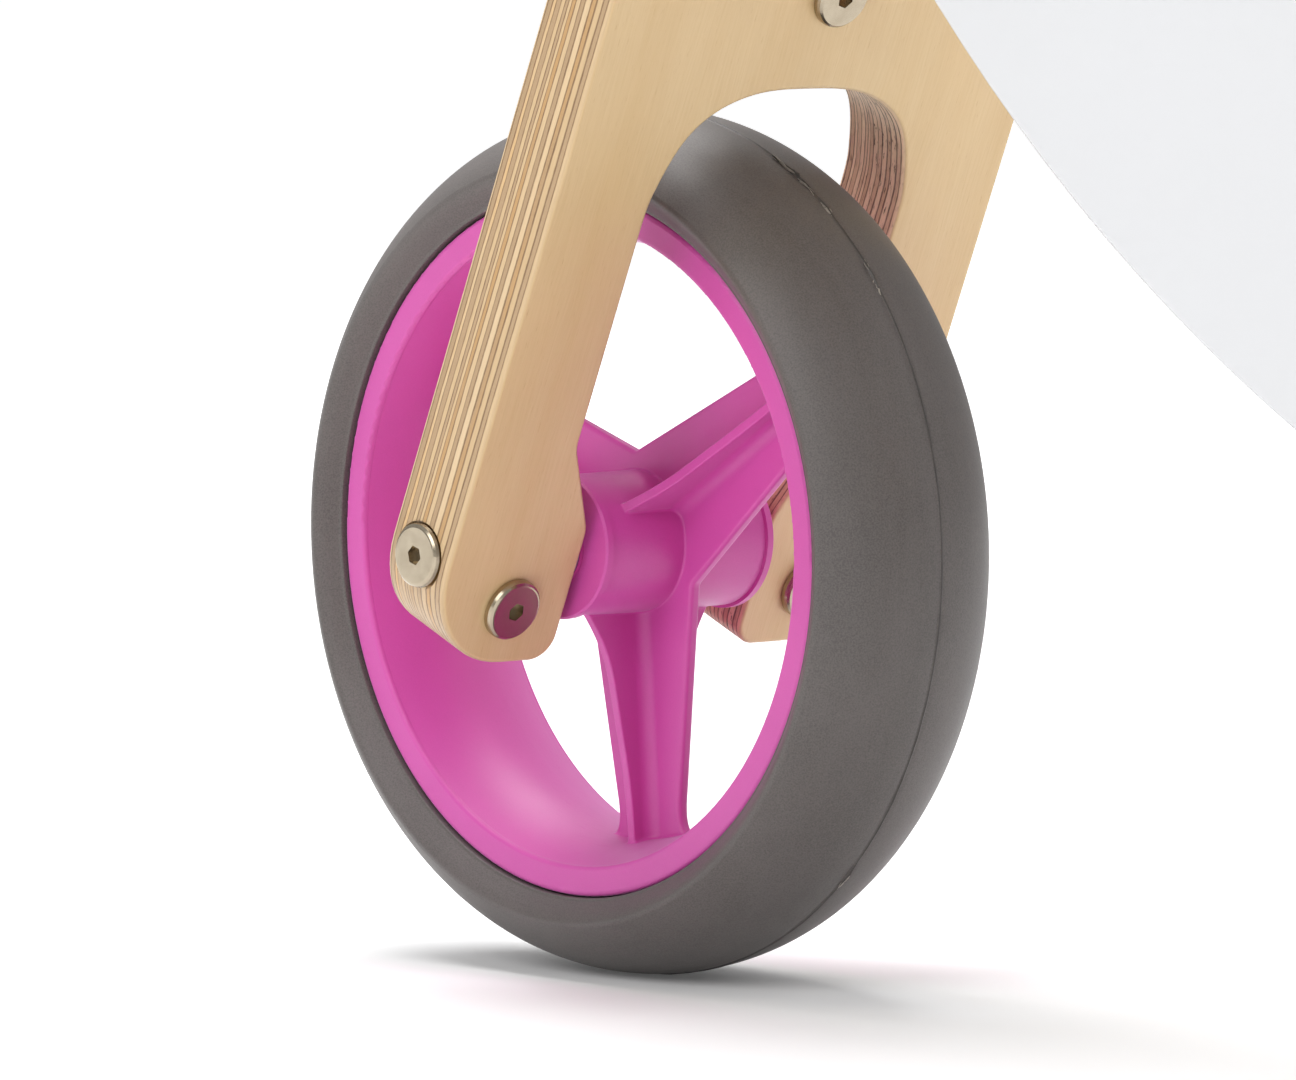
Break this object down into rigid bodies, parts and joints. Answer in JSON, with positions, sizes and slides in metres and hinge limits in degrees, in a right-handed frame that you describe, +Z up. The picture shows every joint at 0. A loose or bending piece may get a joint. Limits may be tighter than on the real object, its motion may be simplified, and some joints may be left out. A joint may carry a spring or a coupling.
{
  "type": "balance bike",
  "caption": "Toddler's wooden balance bike with a plywood fork plate, curved white side panels, moulded spoked wheels, padded seat and straight handlebar.",
  "frame": {"origin": "on the ground, midway between the two tyre contact points", "axes": "+X forward in the direction of travel, +Y to the rider's left, +Z up"},
  "size_m": [0.643, 0.3404, 0.4299],
  "materials": {
    "birch_ply": "clear lacquered birch plywood with visible plies on its edges",
    "white_lacquer": "satin white lacquer on plywood",
    "beech": "clear lacquered solid beech",
    "tyre_grey": "warm grey moulded foam, semi-matt",
    "rim_pink": "satin moulded plastic",
    "bush_plastic": "natural nylon",
    "nickel": "nickel plated",
    "zinc_steel": "zinc plated",
    "insert_brass": "turned brass",
    "grip_rubber": "matt rubber",
    "seat_cover": "soft imitation leather"
  },
  "bodies": {
    "frame": {"side_panel_left": "white_lacquer", "side_panel_right": "white_lacquer", "head_block": "beech", "head_bushes": "bush_plastic", "seat_rail_front": "beech", "seat_rail_rear": "beech", "frame_spreader": "beech", "frame_bolts": "nickel", "insert_nuts": "insert_brass", "rear_axle_sleeve": "zinc_steel", "rear_axle_bolts": "nickel", "rear_axle_washers": "zinc_steel", "rear_spacers": "zinc_steel", "seat_base": "birch_ply", "seat_screws": "zinc_steel", "seat_pad": "seat_cover"},
    "fork": {"fork_plate": "birch_ply", "stem_board": "birch_ply", "handlebar": "beech", "grip_left": "grip_rubber", "grip_right": "grip_rubber", "front_axle_sleeve": "zinc_steel", "front_axle_bolts": "nickel", "front_axle_washers": "zinc_steel", "fork_face_bolts": "nickel", "fork_face_nuts": "nickel", "stem_bolts": "nickel", "stem_nuts": "nickel", "bracket_bolts": "nickel", "hinge_bracket_lower": "zinc_steel", "hinge_bracket_upper": "zinc_steel", "steering_pin": "zinc_steel", "steering_pin_washer": "zinc_steel", "steering_lock_nut": "zinc_steel"},
    "front_wheel": {"front_tyre": "tyre_grey", "front_rim": "rim_pink", "front_hub_bushes": "bush_plastic"},
    "rear_wheel": {"rear_tyre": "tyre_grey", "rear_rim": "rim_pink", "rear_hub_bushes": "bush_plastic"}
  },
  "joints": [
    {"name": "steering", "type": "hinge", "parent": "frame", "child": "fork", "pos_m": [0.10311, 0, 0.29608], "axis": [-0.3971, 0, 0.9178], "range_deg": [-38, 38]},
    {"name": "front_wheel_spin", "type": "hinge", "parent": "fork", "child": "front_wheel", "pos_m": [0.22, 0, 0.1015], "axis": [0, 1, 0], "continuous": true},
    {"name": "rear_wheel_spin", "type": "hinge", "parent": "frame", "child": "rear_wheel", "pos_m": [-0.22, 0, 0.1015], "axis": [0, 1, 0], "continuous": true}
  ]
}
